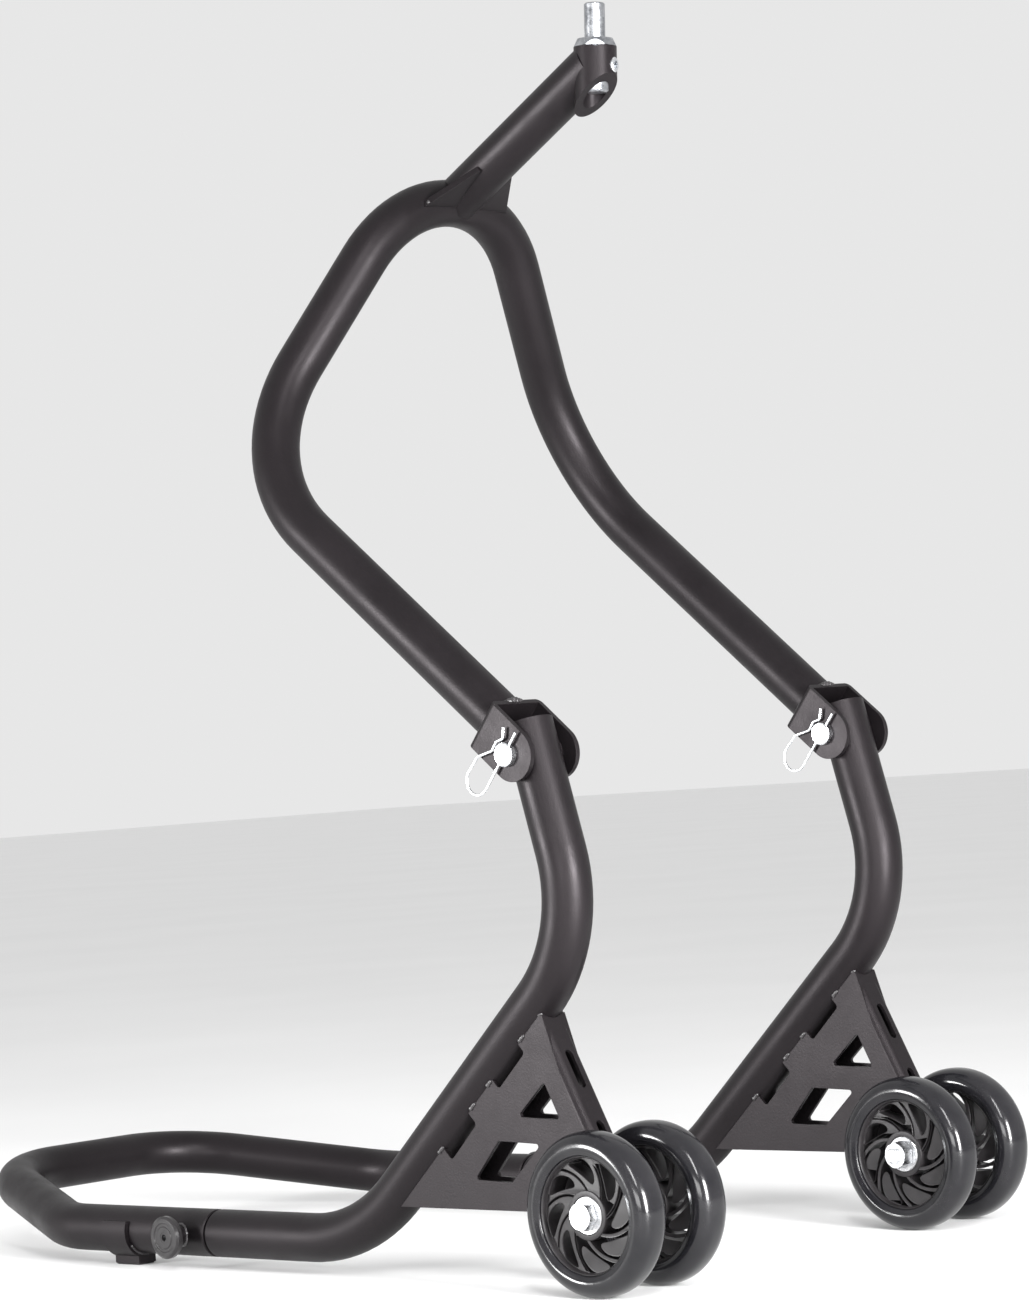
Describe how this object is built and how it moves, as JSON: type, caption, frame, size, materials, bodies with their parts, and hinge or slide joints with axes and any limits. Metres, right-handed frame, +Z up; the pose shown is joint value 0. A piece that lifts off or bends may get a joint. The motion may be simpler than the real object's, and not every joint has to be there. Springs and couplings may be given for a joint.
{
  "type": "motorcycle front paddock stand",
  "caption": "Tubular steel front paddock stand with a pull handle, wheeled base, folding upper arch and a lift-out pin that holds a motorcycle by its steering head.",
  "frame": {"origin": "on the floor, half way along the stand and on its centre plane", "axes": "+X from the pull handle to the wheels, +Y to the left, +Z up"},
  "size_m": [0.889, 0.4686, 0.9767],
  "materials": {
    "black_paint": "satin black powder coat",
    "zinc": "bright zinc plate",
    "tyre": "smooth black",
    "hub_plastic": "moulded, fine texture",
    "bearing_steel": "bearing rings",
    "knob_plastic": "black",
    "foot_paint": "satin black powder coat"
  },
  "bodies": {
    "base": {"left_side_tube": "black_paint", "left_spigot": "black_paint", "left_wheel_bracket": "black_paint", "right_side_tube": "black_paint", "right_spigot": "black_paint", "right_wheel_bracket": "black_paint", "pivot_sleeves": "black_paint", "axle_bolts": "zinc", "axle_nuts": "zinc", "axle_collars": "zinc", "bearing_spacers": "zinc"},
    "upper_frame": {"left_clevis": "black_paint", "left_neck_gusset": "black_paint", "right_clevis": "black_paint", "right_neck_gusset": "black_paint", "arch_tube": "black_paint", "neck_tube": "black_paint", "head_socket": "black_paint", "head_set_screw": "zinc", "clevis_pins": "zinc", "spring_clips": "zinc"},
    "head_pin": {"head_pin": "zinc"},
    "handle": {"left_foot": "foot_paint", "right_foot": "foot_paint", "handle_tube": "black_paint", "knob_bosses": "black_paint"},
    "left_knob": {"left_lock_knob": "knob_plastic", "left_knob_stud": "zinc"},
    "left_outer_wheel": {"left_outer_wheel_tyre": "tyre", "left_outer_wheel_hub": "hub_plastic", "left_outer_wheel_bearings": "bearing_steel"},
    "left_inner_wheel": {"left_inner_wheel_tyre": "tyre", "left_inner_wheel_hub": "hub_plastic", "left_inner_wheel_bearings": "bearing_steel"},
    "right_knob": {"right_lock_knob": "knob_plastic", "right_knob_stud": "zinc"},
    "right_outer_wheel": {"right_outer_wheel_tyre": "tyre", "right_outer_wheel_hub": "hub_plastic", "right_outer_wheel_bearings": "bearing_steel"},
    "right_inner_wheel": {"right_inner_wheel_tyre": "tyre", "right_inner_wheel_hub": "hub_plastic", "right_inner_wheel_bearings": "bearing_steel"}
  },
  "joints": [
    {"name": "left_outer_wheel_spin", "type": "hinge", "parent": "base", "child": "left_outer_wheel", "pos_m": [0.3845, 0.217, 0.06], "axis": [0, 1, 0], "continuous": true},
    {"name": "left_inner_wheel_spin", "type": "hinge", "parent": "base", "child": "left_inner_wheel", "pos_m": [0.3845, 0.151, 0.06], "axis": [0, 1, 0], "continuous": true},
    {"name": "right_outer_wheel_spin", "type": "hinge", "parent": "base", "child": "right_outer_wheel", "pos_m": [0.3845, -0.217, 0.06], "axis": [0, 1, 0], "continuous": true},
    {"name": "right_inner_wheel_spin", "type": "hinge", "parent": "base", "child": "right_inner_wheel", "pos_m": [0.3845, -0.151, 0.06], "axis": [0, 1, 0], "continuous": true},
    {"name": "upper_frame_fold", "type": "hinge", "parent": "base", "child": "upper_frame", "pos_m": [0.322, 0, 0.393], "axis": [0, -1, 0], "range_deg": [0, 80]},
    {"name": "head_pin_lift", "type": "slide", "parent": "upper_frame", "child": "head_pin", "axis": [0.0698, 0, 0.9976], "range_m": [0, 0.05]},
    {"name": "handle_slide", "type": "slide", "parent": "base", "child": "handle", "axis": [-1, 0, 0], "range_m": [0, 0.075]},
    {"name": "left_knob_turn", "type": "hinge", "parent": "handle", "child": "left_knob", "pos_m": [-0.0825, 0.184, 0.028], "axis": [0, 1, 0], "continuous": true},
    {"name": "right_knob_turn", "type": "hinge", "parent": "handle", "child": "right_knob", "pos_m": [-0.0825, -0.184, 0.028], "axis": [0, -1, 0], "continuous": true}
  ]
}
